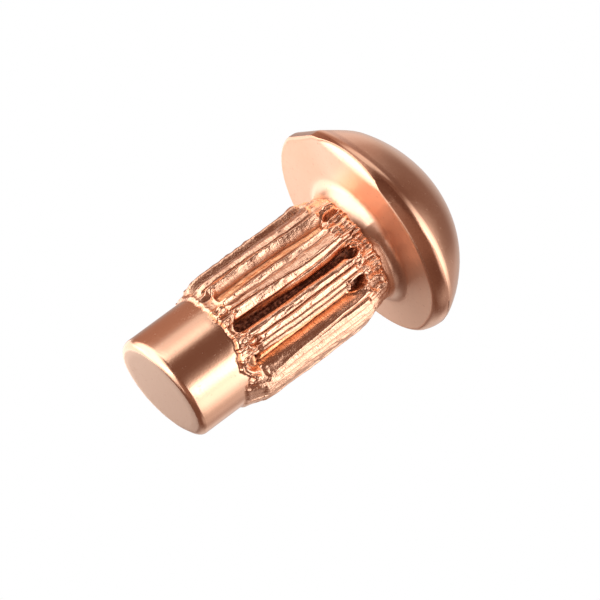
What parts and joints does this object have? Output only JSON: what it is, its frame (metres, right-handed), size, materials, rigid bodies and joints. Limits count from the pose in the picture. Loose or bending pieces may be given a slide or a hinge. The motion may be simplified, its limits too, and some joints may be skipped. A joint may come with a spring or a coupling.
{
  "type": "round head rivet",
  "caption": "Round head rivet with a domed head, a flared neck, a straight-knurled press-in shank and a smooth pilot with a rounded flat end.",
  "frame": {"origin": "centre of the pilot's flat end, on the axis of the shank", "axes": "+Z along the axis from the pilot to the head; X and Y are any two directions across the shank"},
  "size_m": [0.0037, 0.0036, 0.0055],
  "materials": {
    "copper": "satin copper, burnished on the crests of the ribs"
  },
  "bodies": {
    "root": {"rivet": "copper"}
  },
  "joints": []
}
